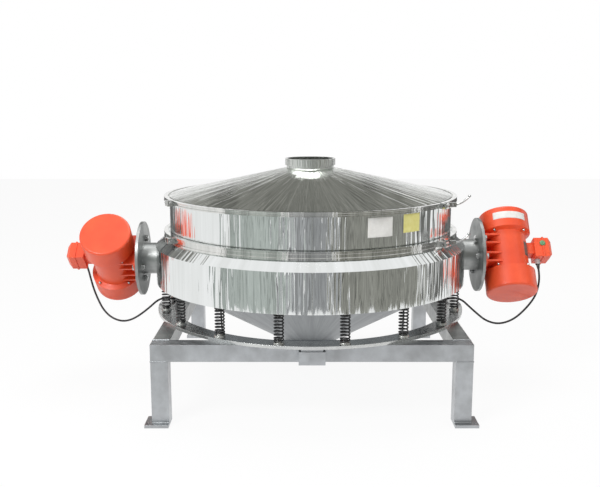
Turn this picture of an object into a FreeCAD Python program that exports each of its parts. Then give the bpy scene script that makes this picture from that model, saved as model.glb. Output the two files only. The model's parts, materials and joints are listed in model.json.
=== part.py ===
import FreeCAD, Part
import math
import os
from FreeCAD import Placement, Rotation, Vector

# Vibrating sieve, direct discharge type.  Millimetres, +Z up, +Y to the rear.
# The origin is on the floor, under the middle of the sieve.

# ---- driving dimensions ----
# Frame
frame_tube = 65.0
frame_wall = 4.0
frame_top = 315.0
vent_radius = 4.0
foot_side = 90.0
foot_thick = 12.0
foot_bolt_radius = 6.0
foot_bolt_margin = 12.5
# Base ring and the brackets under its overhang
ring_width = 70.0
ring_overhang = 60.0
ring_thick = 12.0
bracket_width = 98.0
bracket_height = 50.0
bracket_wall = 5.0
bracket_margin = 5.0
shim_thick = 10.0
shim_width = 80.0
# Springs
spring_count = 16
spring_inset = 37.0
spring_radius = 20.0
spring_wire = 6.0
spring_coils = 8
spring_turn_sides = 8
spring_space = 118.0
spring_end_clearance = 0.6
seat_radius = 21.5
seat_thick = 5.0
seat_boss_height = 12.0
seat_clearance = 1.3
cone_seat_gap = 0.5
# Sieve body, from the bottom up
deck_radius = 600.0
shell_step = 62.0
shell_wall = 4.0
shell_height = 156.0
shoulder_height = 36.0
neck_wall = 4.0
neck_step = 6.0
deck_wall = 3.0
clamp_flange_width = 20.0
clamp_flange_thick = 6.0
clamp_lip = 3.0
gasket_thick = 3.0
screen_ring_thick = 7.0
screen_ledge = 15.0
screen_seat = 16.0
mesh_thick = 1.0
cross_bar_width = 20.0
cross_bar_thick = 5.0
deck_height = 143.0
lid_flange_width = 17.0
lid_flange_thick = 5.0
lid_gasket_thick = 2.0
lid_rise = 110.0
lid_upstand = 3.0
# Inlet and outlet
inlet_neck_radius = 101.0
inlet_wall = 4.0
inlet_rim_step = 6.5
inlet_rim_height = 28.0
inlet_neck_height = 11.0
inlet_depth = 25.0
outlet_radius = 118.0
outlet_wall = 3.0
outlet_top = 163.0
outlet_bottom = 108.0
outlet_neck = 4.0
outlet_bead = 4.0
outlet_bead_height = 6.0
# Clamp bands
band_wall = 3.0
band_rib = 3.0
band_gap = 8.0
band_lap = 11.0
closure_angle = -34.0
side_bolt_angle = -153.0
lug_thick = 12.0
lug_reach = 20.0
fork_height = 22.0
pin_radius = 3.0
pin_clearance = 0.1
cheek_clearance = 0.2
running_clearance = 0.05
swing_rod_radius = 4.0
swing_length = 49.0
swing_eye_radius = 7.0
swing_eye_height = 9.4
swing_clearance = 0.5
cam_radius = 8.0
cam_clearance = 0.3
cheek_thick = 4.0
handle_radius = 4.0
handle_reach = 70.0
handle_rise = 34.0
handle_angle = 34.0
side_rod_radius = 5.0
side_nut_radius = 9.0
side_nut_height = 8.0
# Motor arms
arm_radius = 67.5
arm_wall = 6.0
left_arm_rise = 80.0
right_arm_rise = 96.0
arm_length = 73.0
arm_root_depth = 40.0
arm_disc_radius = 160.0
arm_disc_thick = 12.0
# Motors, in a frame with the shaft along Z and the foot towards -X
left_motor_tilt = 45.0
right_motor_tilt = 54.0
motor_axis_offset = 127.0
body_radius = 86.0
body_half_length = 100.0
cap_radius = 107.5
cap_wall = 7.0
cap_length = 85.0
cap_fillet = 9.0
rim_thick = 9.0
foot_length = 176.0
foot_width = 196.0
motor_foot_thick = 15.0
foot_corner = 16.0
foot_rib_thick = 9.0
inner_rib_place = 24.0
outer_rib_place = 62.0
rib_root = 5.0
rib_top = 20.0
rib_foot_inset = 24.0
rib_body_inset = 10.0
web_inset = 6.0
core_margin = 3.0
housing_wall = 13.0
foot_bolt_y = 76.0
foot_bolt_z = 43.0
motor_bolt_radius = 8.0
motor_bolt_head = 13.5
motor_bolt_head_height = 10.0
motor_nut_height = 13.0
motor_bolt_tail = 3.0
shaft_radius = 20.0
shaft_end_gap = 6.0
rotor_radius = 46.0
stator_gap = 2.0
stator_half_length = 58.0
bearing_radius = 42.0
bearing_width = 20.0
weight_radius = 84.0
weight_thick = 24.0
weight_gap = 3.0
weight_start_gap = 4.0
weight_half_angle = 12.0
weight_hub_wall = 10.0
box_depth = 76.0
box_width = 78.0
box_length = 88.0
box_shift = 18.0
box_chamfer = 14.0
box_neck_width = 52.0
box_neck_length = 26.0
box_neck_root = 20.0
gland_offset = 128.0
gland_radius = 13.0
gland_length = 22.0
relief_radius = 8.0
relief_length = 20.0
# Motor leads
lead_radius = 4.3
lead_turn_share = 0.45
coil_radius = 48.0
coil_columns = 2
coil_layers = 2
lead_lift = 0.4
lead_hump = 9.0
coil_clearance = 0.2
lead_exit_run = 32.0
# Each lead's loop below its motor, down to the base ring's edge, as (|x|, y, z)
left_lead_loop = [(986, 82, 418), (975, 84, 368), (956, 80, 318), (932, 70, 274),
                  (894, 55, 241), (843, 36, 228), (794, 18, 241), (748, 6, 271), (703, 0, 308)]
right_lead_loop = [(987, -67, 424), (978, -66, 379), (962, -62, 346), (936, -54, 307),
                   (901, -45, 268), (862, -34, 243), (820, -24, 234), (775, -14, 247), (742, -6, 273),
                   (699, 0, 311)]
left_drop_angle = 41.0
right_drop_angle = 36.5

X_AXIS = Vector(1, 0, 0)
Y_AXIS = Vector(0, 1, 0)
Z_AXIS = Vector(0, 0, 1)
ORIGIN = Vector(0, 0, 0)

# ---- levels and places worked out from the driving dimensions ----
shell_radius = deck_radius + shell_step
spring_circle = shell_radius - spring_inset
ring_outer_radius = spring_circle + ring_width / 2
ring_inner_radius = spring_circle - ring_width / 2
half_side = ring_outer_radius - ring_overhang
beam_bottom = frame_top - frame_tube
ring_top = frame_top + ring_thick
shell_bottom = ring_top + spring_space
shell_top = shell_bottom + shell_height
shoulder_top = shell_top + shoulder_height
band_bottom = shoulder_top
clamp_radius = deck_radius + clamp_flange_width
lower_flange_bottom = band_bottom + clamp_lip
lower_flange_top = lower_flange_bottom + clamp_flange_thick
screen_bottom = lower_flange_top + gasket_thick
screen_top = screen_bottom + screen_ring_thick
deck_bottom = screen_top + gasket_thick
deck_top = deck_bottom + deck_height
band_top = deck_bottom + clamp_flange_thick + clamp_lip
lid_clamp_radius = deck_radius + lid_flange_width
lid_bottom = deck_top + lid_gasket_thick
lid_base = lid_bottom + lid_flange_thick
lid_band_bottom = deck_top - lid_flange_thick - clamp_lip
lid_band_top = lid_base + clamp_lip
lid_edge = lid_base + lid_upstand
inner_deck_radius = deck_radius - deck_wall
neck_radius = deck_radius + neck_step
flange_inner_radius = neck_radius - neck_wall
cone_radius = spring_circle - seat_radius - cone_seat_gap
screen_ring_inner = deck_radius - screen_ledge
inlet_rim_radius = inlet_neck_radius + inlet_rim_step
arm_reach = shell_radius + arm_length
body_bore = body_radius - housing_wall
lug_inner_shift = 2.0


def box(x, y, z):
    """Box between the (low, high) pairs given for each axis."""
    size = (x[1] - x[0], y[1] - y[0], z[1] - z[0])
    return Part.makeBox(*size, Vector(x[0], y[0], z[0]))


def cylinder(radius, start, end):
    """Cylinder from one point to another."""
    axis = end - start
    return Part.makeCylinder(radius, axis.Length, start, axis)


def profile_face(points):
    """Face in the XZ plane from (radius, height) points."""
    corners = [Vector(r, 0, z) for r, z in points]
    return Part.Face(Part.makePolygon(corners + corners[:1]))


def revolve(points, start=0.0, sweep=360.0):
    """Solid of revolution about Z, from a start angle and through a sweep."""
    face = profile_face(points)
    face.rotate(ORIGIN, Z_AXIS, start)
    return face.revolve(ORIGIN, Z_AXIS, sweep)


def annulus(outer, inner, low, high):
    return revolve([(inner, low), (outer, low), (outer, high), (inner, high)])


def sheet(path, wall):
    """Closed outline of sheet metal: the path is its outer side, the wall lies to the left."""
    inner = []
    for i, (r, z) in enumerate(path):
        normals = []
        for a, b in ((i - 1, i), (i, i + 1)):
            if a >= 0 and b < len(path):
                dr, dz = path[b][0] - path[a][0], path[b][1] - path[a][1]
                length = math.hypot(dr, dz)
                normals.append((-dz / length, dr / length))
        nr = sum(n[0] for n in normals)
        nz = sum(n[1] for n in normals)
        scale = len(normals) * wall / (nr * nr + nz * nz)
        inner.append((r + nr * scale, z + nz * scale))
    return list(path) + inner[::-1]


def hex_prism(radius, start, end):
    """Hexagonal prism from one point to another; the radius is to its corners."""
    axis = end - start
    turn = Rotation(Z_AXIS, axis)
    corners = []
    for i in range(6):
        angle = math.radians(60 * i)
        corners.append(start + turn.multVec(Vector(radius * math.cos(angle), radius * math.sin(angle), 0)))
    return Part.Face(Part.makePolygon(corners + corners[:1])).extrude(axis)


def at_angle(shape, angle):
    """Shape turned about Z, from azimuth 0 to the given azimuth."""
    return shape.rotated(ORIGIN, Z_AXIS, angle)


def save(name, *solids):
    shape = solids[0] if len(solids) == 1 else Part.makeCompound(list(solids))
    if not shape.isValid():
        raise ValueError(name + " is not a valid shape")
    shape.exportStep("parts/" + name + ".step")


# ---- frame ----
def tube_along_x(x_ends, y_low, end_plates):
    """Square tube along X; its closed form has end plates and a vent underneath."""
    outer = box(x_ends, (y_low, y_low + frame_tube), (beam_bottom, frame_top))
    inset = frame_wall if end_plates else 0.0
    inner = box((x_ends[0] + inset, x_ends[1] - inset),
                (y_low + frame_wall, y_low + frame_tube - frame_wall),
                (beam_bottom + frame_wall, frame_top - frame_wall))
    tube = outer.cut(inner)
    if end_plates:
        vent = Vector(0, y_low + frame_tube / 2, beam_bottom - frame_wall)
        tube = tube.cut(cylinder(vent_radius, vent, vent + Z_AXIS * 3 * frame_wall))
    return tube


def make_frame():
    side_length = (-half_side + frame_tube, half_side - frame_tube)
    front = tube_along_x((-half_side, half_side), -half_side, True)
    side = tube_along_x(side_length, -half_side, False)
    save("front_beam", front)
    save("rear_beam", at_angle(front, 180))
    save("left_beam", at_angle(side, -90))
    save("right_beam", at_angle(side, 90))
    legs = {"front_left_leg": (-1, -1), "front_right_leg": (1, -1),
            "rear_left_leg": (-1, 1), "rear_right_leg": (1, 1)}
    feet = []
    inner_edge = half_side - frame_tube
    for name, (sx, sy) in legs.items():
        outer = box((inner_edge, half_side), (inner_edge, half_side), (foot_thick, beam_bottom))
        hollow = (inner_edge + frame_wall, half_side - frame_wall)
        leg = outer.cut(box(hollow, hollow, (foot_thick, beam_bottom)))
        hole = Vector(foot_hole(), foot_hole(), -foot_thick)
        plate_side = (inner_edge, inner_edge + foot_side)
        plate = box(plate_side, plate_side, (0, foot_thick))
        plate = plate.cut(cylinder(foot_bolt_radius, hole, hole + Z_AXIS * 3 * foot_thick))
        turn = {(1, 1): 0, (-1, 1): 90, (-1, -1): 180, (1, -1): 270}[(sx, sy)]
        save(name, at_angle(leg, turn))
        feet.append(at_angle(plate, turn))
    save("foot_plates", *feet)


def foot_hole():
    """Distance of a foot bolt from both middle planes."""
    return half_side - frame_tube + foot_side - foot_bolt_margin


def make_ring():
    save("base_ring", annulus(ring_outer_radius, ring_inner_radius, frame_top, ring_top))
    top = frame_top - shim_thick
    reach = -(ring_outer_radius - bracket_margin)
    half = bracket_width / 2
    body = box((-half, half), (reach, -half_side), (top - bracket_height, top))
    hollow = box((-half + bracket_wall, half - bracket_wall), (reach + bracket_wall, -half_side),
                 (top - bracket_height + bracket_wall, top - bracket_wall))
    shim = box((-shim_width / 2, shim_width / 2), (reach + bracket_wall, -half_side), (top, frame_top))
    bracket = body.cut(hollow).fuse(shim).removeSplitter()
    save("ring_brackets", bracket, at_angle(bracket, 180))


# ---- springs ----
def spring_places(shape):
    """Copies of a shape, one at each spring."""
    step = 360.0 / spring_count
    return [at_angle(shape, -90 + step * (i + 0.5)) for i in range(spring_count)]


def spring_seat(face, inward):
    """Round seat with a boss that enters the coil; inward is its direction along Z."""
    flat_radius = (spring_radius - spring_wire / 2) * math.cos(math.pi / spring_turn_sides)
    boss_radius = flat_radius - spring_wire / 2 - seat_clearance
    base = Vector(spring_circle, 0, face)
    seat = cylinder(seat_radius, base, base + Z_AXIS * inward * seat_thick)
    boss = cylinder(boss_radius, base, base + Z_AXIS * inward * (seat_thick + seat_boss_height))
    return seat.fuse(boss).removeSplitter()


def coil_spring():
    """Compression spring of square wire, in straight stretches mitred into one another."""
    low = ring_top + seat_thick
    high = shell_bottom - seat_thick
    half = spring_wire / 2
    mean_radius = spring_radius - half
    height = high - low - spring_wire - 2 * spring_end_clearance
    count = spring_coils * spring_turn_sides
    corners = []
    for i in range(count + 1):
        angle = 2 * math.pi * i / spring_turn_sides
        corners.append(Vector(mean_radius * math.cos(angle), mean_radius * math.sin(angle), height * i / count))
    spine = Part.makePolygon(corners)
    heading = (corners[1] - corners[0]).normalize()
    across = heading.cross(Z_AXIS).normalize()
    upward = across.cross(heading)
    section = [corners[0] + across * (a * half) + upward * (b * half) for a, b in ((-1, -1), (1, -1), (1, 1), (-1, 1))]
    coil = spine.makePipeShell([Part.makePolygon(section + section[:1])], True, False, 1)
    return coil.translated(Vector(spring_circle, 0, (low + high) / 2 - height / 2))


def make_springs():
    save("lower_spring_seats", *spring_places(spring_seat(ring_top, 1)))
    save("coil_springs", *spring_places(coil_spring()))
    save("upper_spring_seats", *spring_places(spring_seat(shell_bottom, -1)))


# ---- sieve body ----
def lower_shell_path():
    return [(cone_radius, shell_bottom), (shell_radius, shell_bottom), (shell_radius, shell_top),
            (clamp_radius, shoulder_top), (flange_inner_radius, shoulder_top)]


def make_lower_shell():
    shell = revolve(sheet(lower_shell_path(), shell_wall))
    collar = [(flange_inner_radius, shoulder_top), (neck_radius, shoulder_top),
              (neck_radius, lower_flange_bottom), (clamp_radius, lower_flange_bottom),
              (clamp_radius, lower_flange_top), (flange_inner_radius, lower_flange_top)]
    save("lower_shell", shell.fuse(revolve(collar)).removeSplitter())


def make_discharge():
    cone = [(outlet_radius, outlet_top), (outlet_radius, outlet_top + outlet_neck),
            (cone_radius, shell_bottom), (cone_radius, shell_bottom + shell_wall)]
    save("discharge_cone", revolve(sheet(cone, outlet_wall)))
    inner = outlet_radius - outlet_wall
    spout = [(inner, outlet_bottom), (outlet_radius + outlet_bead, outlet_bottom),
             (outlet_radius + outlet_bead, outlet_bottom + outlet_bead_height),
             (outlet_radius, outlet_bottom + outlet_bead_height),
             (outlet_radius, outlet_top), (inner, outlet_top)]
    save("outlet_spout", revolve(spout))


def make_screen():
    rim = clamp_radius - gasket_thick / 2
    seat_radius_in = screen_ring_inner + screen_seat
    seat_level = screen_top - mesh_thick
    ring = revolve([(screen_ring_inner, screen_bottom), (rim, screen_bottom), (rim, screen_top),
                    (seat_radius_in, screen_top), (seat_radius_in, seat_level),
                    (screen_ring_inner, seat_level)])
    half = cross_bar_width / 2
    reach = screen_ring_inner + 1.0
    level = (seat_level - cross_bar_thick, seat_level)
    bars = box((-reach, reach), (-half, half), level).fuse(box((-half, half), (-reach, reach), level))
    save("screen_frame", ring.fuse(bars).removeSplitter())
    mesh = cylinder(seat_radius_in, Vector(0, 0, seat_level), Vector(0, 0, screen_top))
    save("screen_mesh", mesh)
    save("lower_gasket", annulus(rim, flange_inner_radius, lower_flange_top, screen_bottom))
    save("upper_gasket", annulus(rim, flange_inner_radius, screen_top, deck_bottom))


def make_deck():
    inner = inner_deck_radius
    deck = [(inner, deck_bottom), (clamp_radius, deck_bottom),
            (clamp_radius, deck_bottom + clamp_flange_thick), (deck_radius, deck_bottom + clamp_flange_thick),
            (deck_radius, deck_top - lid_flange_thick), (lid_clamp_radius, deck_top - lid_flange_thick),
            (lid_clamp_radius, deck_top), (inner, deck_top)]
    save("upper_shell", revolve(deck))
    save("lid_gasket", annulus(lid_clamp_radius, inner, deck_top, lid_bottom))


def make_lid():
    slope = lid_rise / (deck_radius - inlet_neck_radius)
    past_neck = inlet_neck_radius / 2
    tip = (past_neck, lid_edge + slope * (deck_radius - past_neck))
    cone = revolve(sheet([(deck_radius, lid_base), (deck_radius, lid_edge), tip], deck_wall))
    flange = annulus(lid_clamp_radius, inner_deck_radius, lid_bottom, lid_base)
    lid_top = lid_edge + lid_rise
    opening = cylinder(inlet_neck_radius, ORIGIN, Vector(0, 0, 2 * lid_top))
    save("lid", cone.cut(opening).fuse(flange).removeSplitter())
    bore = inlet_neck_radius - inlet_wall
    rim_bottom = lid_top + inlet_neck_height
    rim_top = rim_bottom + inlet_rim_height
    collar = [(bore, lid_top - inlet_depth), (inlet_neck_radius, lid_top - inlet_depth),
              (inlet_neck_radius, rim_bottom), (inlet_rim_radius, rim_bottom),
              (inlet_rim_radius, rim_top), (bore, rim_top)]
    save("inlet_collar", revolve(collar))


# ---- clamp bands ----
def band_outline(flange_radius, low, high):
    """U section around two flanges, with a rib along its top and bottom edges."""
    wall = flange_radius + band_wall
    rib = wall + band_rib
    rise = (high - low) / 4
    lap = flange_radius - band_lap
    return [(rib, low), (rib, low + rise), (wall, low + rise + band_rib / 2),
            (wall, high - rise - band_rib / 2), (rib, high - rise), (rib, high),
            (lap, high), (lap, high - clamp_lip), (flange_radius, high - clamp_lip),
            (flange_radius, low + clamp_lip), (lap, low + clamp_lip), (lap, low)]


def hinge_lug(inner, pin_place, height, side):
    """Fork at a band's end that holds the swing bolt's pin."""
    half = height / 2
    y = (pin_place.y - swing_eye_radius - 3, -band_gap / 2 - 1)
    lug = box((inner, pin_place.x + swing_eye_radius), y, (-half, half))
    slot = swing_eye_height / 2 + cheek_clearance
    lug = lug.cut(box((pin_place.x - swing_eye_radius - 2, pin_place.x + 2 * swing_eye_radius),
                      (y[0] - 1, y[1] + 1), (-slot, slot)))
    hole = Vector(pin_place.x, pin_place.y, -height)
    return lug.cut(cylinder(pin_radius, hole, hole + Z_AXIS * 2 * height))


def swing_layout(flange_radius):
    """Pin place and cam place of a closure, for azimuth 0."""
    radius = flange_radius + band_wall + band_rib + 18.0
    pin = Vector(radius, -20.0, 0)
    return pin, pin + Y_AXIS * swing_length


def slotted_lug(inner, cam_place, height):
    """Lug that the cam bears on; its slot is open outwards, for the swing bolt."""
    half = height / 2
    end = cam_place.y - cam_radius - cam_clearance
    lug = box((inner, cam_place.x + 5), (end - lug_thick, end), (-half, half))
    slot = swing_rod_radius + swing_clearance
    return lug.cut(box((cam_place.x - slot, cam_place.x + 6), (end - lug_thick - 1, end + 1), (-slot, slot)))


def swing_bolt(pin, cam):
    """Rod with an eye on the pivot pin and a cross pin at its cam end."""
    half = swing_eye_height / 2
    eye = cylinder(swing_eye_radius, pin - Z_AXIS * half, pin + Z_AXIS * half)
    end = cylinder(cam_radius - 2, cam - Z_AXIS * half, cam + Z_AXIS * half)
    rod = cylinder(swing_rod_radius, pin, cam)
    bolt = rod.fuse([eye, end])
    hole = pin_radius + pin_clearance
    bolt = bolt.cut(cylinder(hole, pin - Z_AXIS * 2 * half, pin + Z_AXIS * 2 * half))
    cross = half + cheek_thick + 2
    return bolt.fuse(cylinder(pin_radius, cam - Z_AXIS * cross, cam + Z_AXIS * cross)).removeSplitter()


def lever(cam):
    """Cam head of two cheeks with a bent round handle that sweeps out and up."""
    gap = swing_eye_height / 2 + cheek_clearance
    half = gap + cheek_thick
    turn = 90 - handle_angle
    heading = Vector(math.sin(math.radians(turn)), math.cos(math.radians(turn)), 0)
    head = cylinder(cam_radius, cam - Z_AXIS * half, cam + Z_AXIS * half)
    root = cam + heading * (cam_radius + 1)
    base = cam + heading * (cam_radius + 10)
    web = box((0, 20), (-5, 5), (-half, half))
    web = web.cut(box((-1, cam_radius), (-6, 6), (-gap, gap)))
    web.Placement = Placement(cam, Rotation(X_AXIS, heading))
    head = head.cut(cylinder(cam_radius + 1, cam - Z_AXIS * gap, cam + Z_AXIS * gap)).fuse(web)
    head = head.cut(cylinder(pin_radius + pin_clearance, cam - Z_AXIS * 2 * half, cam + Z_AXIS * 2 * half))
    tip = cam + heading * handle_reach + Z_AXIS * handle_rise
    middle = cam + heading * (handle_reach * 0.62) + Z_AXIS * (handle_rise * 0.3)
    route = Part.Wire(Part.Arc(base, middle, tip).toShape())
    start = Part.Wire(Part.Circle(base, route.Edges[0].tangentAt(route.Edges[0].FirstParameter),
                                  handle_radius).toShape())
    bar = route.makePipeShell([start], True, False)
    ball = Part.makeSphere(handle_radius * 1.5, tip)
    return head.fuse([bar, ball]).removeSplitter()


def side_bolt(inner, height):
    """Lugs and the through bolt that ties the band's other ends, for azimuth 0."""
    half = height / 2
    reach = inner + lug_reach + 6
    near, far = band_gap / 2 + 1, band_gap / 2 + 1 + lug_thick
    centre = inner + lug_reach / 2 + 6
    lugs = []
    for side in (-1, 1):
        y = sorted((side * near, side * far))
        lug = box((inner, reach), y, (-half, half))
        lugs.append(lug.cut(cylinder(side_rod_radius, Vector(centre, -2 * far, 0), Vector(centre, 2 * far, 0))))
    rod = cylinder(side_rod_radius, Vector(centre, -far - 12, 0), Vector(centre, far + 12, 0))
    nuts = [hex_prism(side_nut_radius, Vector(centre, s * far, 0), Vector(centre, s * (far + side_nut_height), 0))
            for s in (-1, 1)]
    return lugs, rod.fuse(nuts).removeSplitter()


def make_band(prefix, flange_radius, low, high):
    """One clamp band in two parts, with its closure and its side bolt."""
    level = Vector(0, 0, (low + high) / 2)
    height = min(fork_height, high - low + 5)
    outline = band_outline(flange_radius, low, high)
    seat = flange_radius + lug_inner_shift
    half_gap = math.degrees(band_gap / 2 / flange_radius)
    front_start = side_bolt_angle + half_gap
    front = revolve(outline, front_start, closure_angle - half_gap - front_start)
    rear_start = closure_angle + half_gap
    rear = revolve(outline, rear_start, side_bolt_angle + 360 - half_gap - rear_start)
    pin, cam = swing_layout(flange_radius)

    def seated(shape, angle):
        return at_angle(shape.translated(level), angle)

    rib_solid = revolve([(0, low - fork_height)] + [(seat, low - fork_height), (seat, high + fork_height)]
                        + [(0, high + fork_height)])
    fork = seated(hinge_lug(seat, pin, height, -1), closure_angle).cut(rib_solid)
    stop = seated(slotted_lug(seat, cam, height), closure_angle).cut(rib_solid)
    lugs, rod = side_bolt(seat, height)
    lugs = [seated(lug, side_bolt_angle).cut(rib_solid) for lug in lugs]
    save(prefix + "_band_front", front.fuse([fork, lugs[1]]).removeSplitter())
    save(prefix + "_band_rear", rear.fuse([stop, lugs[0]]).removeSplitter())
    save(prefix + "_band_side_bolt", seated(rod, side_bolt_angle))
    save(prefix + "_swing_bolt", seated(swing_bolt(pin, cam), closure_angle))
    save(prefix + "_clamp_lever", seated(lever(cam), closure_angle))
    pin_half = height / 2 + 3
    return seated(cylinder(pin_radius, pin - Z_AXIS * pin_half, pin + Z_AXIS * pin_half), closure_angle)


def make_bands():
    pins = [make_band("screen", clamp_radius, band_bottom, band_top),
            make_band("lid", lid_clamp_radius, lid_band_bottom, lid_band_top)]
    save("clamp_pivot_pins", *pins)


# ---- motors ----
def motor_place(side, tilt, height):
    """Placement of a motor: side is 1 at the right and -1 at the left."""
    lean = Placement(Vector(arm_reach + motor_axis_offset, 0, height), Rotation(X_AXIS, tilt - 90))
    turn = Placement(ORIGIN, Rotation(Z_AXIS, 0 if side > 0 else 180))
    return turn.multiply(lean)


def placed(shape, placement):
    result = shape.copy()
    result.Placement = placement.multiply(result.Placement)
    return result


def both_ends(shape, turning_axis=X_AXIS):
    """The shape and its copy at the other end of the motor."""
    return [shape, shape.rotated(ORIGIN, turning_axis, 180)]


def motor_housing():
    """Cast body with end rims, bearing bores, a ribbed foot and a seat for the terminal box."""
    end = body_half_length
    bore = bearing_radius
    cavity = end - bearing_width
    body = revolve([(bore, -end), (cap_radius, -end), (cap_radius, -end + rim_thick),
                    (body_radius, -end + 2 * rim_thick), (body_radius, end - 2 * rim_thick),
                    (cap_radius, end - rim_thick), (cap_radius, end), (bore, end),
                    (bore, cavity), (body_bore, cavity), (body_bore, -cavity), (bore, -cavity)])
    foot_face = -motor_axis_offset
    half_w = foot_width / 2
    half_l = foot_length / 2
    foot = box((foot_face, foot_face + motor_foot_thick), (-half_w, half_w), (-half_l, half_l))
    foot = foot.makeFillet(foot_corner, [e for e in foot.Edges if abs(e.tangentAt(e.FirstParameter).x) > 0.9])
    ribs = []
    for z in (-outer_rib_place, -inner_rib_place, inner_rib_place, outer_rib_place):
        foot_reach, body_reach = half_w - rib_foot_inset, body_radius - rib_body_inset
        corners = [Vector(foot_face + rib_root, -foot_reach, z), Vector(-rib_top, -body_reach, z),
                   Vector(-rib_top, body_reach, z), Vector(foot_face + rib_root, foot_reach, z)]
        rib = Part.Face(Part.makePolygon(corners + corners[:1])).extrude(Z_AXIS * foot_rib_thick)
        ribs.append(rib.translated(-Z_AXIS * foot_rib_thick / 2))
    web = box((foot_face + rib_root, -rib_top), (-foot_rib_thick, foot_rib_thick),
              (-half_l + web_inset, half_l - web_inset))
    casting = foot.fuse(ribs + [web])
    core = cylinder(body_bore + core_margin, Vector(0, 0, -end), Vector(0, 0, end))
    neck_half = box_neck_width / 2
    neck = box((box_neck_root, body_radius + box_neck_length), (-neck_half, neck_half),
               (box_shift - neck_half, box_shift + neck_half))
    housing = body.fuse([casting.cut(core), neck.cut(core)])
    for hole in bolt_places():
        housing = housing.cut(cylinder(motor_bolt_radius, hole - X_AXIS * rib_root, hole + X_AXIS * 2 * motor_foot_thick))
    return housing.removeSplitter()


def bolt_places():
    """Foot bolt centres on the foot's face."""
    return [Vector(-motor_axis_offset, sy * foot_bolt_y, sz * foot_bolt_z) for sy in (-1, 1) for sz in (-1, 1)]


def end_cap():
    low = body_half_length
    high = low + cap_length
    inner = cap_radius - cap_wall
    cup = revolve([(inner, low), (cap_radius, low), (cap_radius, high), (0, high), (0, high - cap_wall),
                   (inner, high - cap_wall)])
    outer_edge = [e for e in cup.Edges if abs(e.BoundBox.ZMin - high) < 0.01 and e.Length > 6 * cap_radius]
    return cup.makeFillet(cap_fillet, outer_edge)


def rotor_shaft():
    """Shaft with its rotor core, seated in both bearings."""
    end = body_half_length + cap_length - cap_wall - shaft_end_gap
    core = stator_half_length
    return revolve([(0, -end), (shaft_radius, -end), (shaft_radius, -core), (rotor_radius, -core),
                    (rotor_radius, core), (shaft_radius, core), (shaft_radius, end), (0, end)])


def eccentric_weights():
    """Two half-round weights at each end, turned apart a little, hanging towards +Y."""
    weights = []
    start = body_half_length + weight_start_gap
    for i, set_back in enumerate((-weight_half_angle, weight_half_angle)):
        low = start + i * (weight_thick + weight_gap)
        disc = cylinder(weight_radius, Vector(0, 0, low), Vector(0, 0, low + weight_thick))
        away = box((-weight_radius, weight_radius), (-weight_radius, -weight_hub_wall),
                   (low - 1, low + weight_thick + 1))
        hub = cylinder(shaft_radius + weight_hub_wall, Vector(0, 0, low), Vector(0, 0, low + weight_thick))
        bore = cylinder(shaft_radius, Vector(0, 0, low - 1), Vector(0, 0, low + weight_thick + 1))
        weight = disc.cut(away).fuse(hub).cut(bore).removeSplitter()
        weights += both_ends(at_angle(weight, set_back), Y_AXIS)
    return weights


def terminal_box():
    """Cast box with chamfered outer edges and a lid lip on its outer face."""
    start = body_radius + box_neck_length
    end = start + box_depth
    half_w = box_width / 2
    z = (box_shift - box_length / 2, box_shift + box_length / 2)
    body = box((start, end), (-half_w, half_w), z)
    outer = [e for e in body.Edges if abs(e.BoundBox.XMin - end) < 0.01 and e.BoundBox.XLength < 0.01]
    body = body.makeChamfer(box_chamfer, outer)
    lip = box((start + box_depth * 0.45, start + box_depth * 0.55), (-half_w - 3, half_w + 3),
              (z[0] - 3, z[1] + 3))
    return body.fuse(lip).removeSplitter()


def gland_parts():
    """Cable gland and its rubber strain relief, below the terminal box."""
    top = Vector(gland_offset, 0, box_shift - box_length / 2)
    bottom = top - Z_AXIS * gland_length
    nut = hex_prism(gland_radius, top, top - Z_AXIS * gland_length * 0.6)
    dome = cylinder(gland_radius * 0.8, top, bottom)
    relief_end = bottom - Z_AXIS * relief_length
    cone = Part.makeCone(relief_radius, lead_radius + 1.2, relief_length, bottom, -Z_AXIS)
    return nut.fuse(dome).removeSplitter(), cone, relief_end


def motor_bolts():
    bolts = []
    for place in bolt_places():
        head_face = place + X_AXIS * motor_foot_thick
        nut_face = place - X_AXIS * arm_disc_thick
        shank = cylinder(motor_bolt_radius, nut_face - X_AXIS * (motor_nut_height + motor_bolt_tail), head_face)
        head = hex_prism(motor_bolt_head, head_face, head_face + X_AXIS * motor_bolt_head_height)
        nut = hex_prism(motor_bolt_head, nut_face - X_AXIS * motor_nut_height, nut_face)
        bolts.append(shank.fuse([head, nut]).removeSplitter())
    return bolts


def motor_arm(side, tilt, height):
    """Pipe welded to the lower shell, with the motor's mounting disc on its end."""
    outline = [(0, shell_bottom)] + lower_shell_path()[1:4] + [(0, shoulder_top)]
    core = revolve(outline)
    start = Vector(shell_radius - arm_root_depth, 0, height)
    disc_face = Vector(arm_reach - arm_disc_thick, 0, height)
    pipe = cylinder(arm_radius, start, disc_face)
    pipe = pipe.cut(cylinder(arm_radius - arm_wall, start, disc_face)).cut(core)
    pipe = max(pipe.Solids, key=lambda solid: solid.Volume)
    disc = cylinder(arm_disc_radius, disc_face, Vector(arm_reach, 0, height))
    arm = pipe.fuse(disc)
    lean = Placement(Vector(arm_reach + motor_axis_offset, 0, height), Rotation(X_AXIS, tilt - 90))
    for place in bolt_places():
        hole = cylinder(motor_bolt_radius, place - X_AXIS * (arm_disc_thick + 1), place + X_AXIS)
        arm = arm.cut(placed(hole, lean))
    return at_angle(arm.removeSplitter(), 0 if side > 0 else 180)


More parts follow.
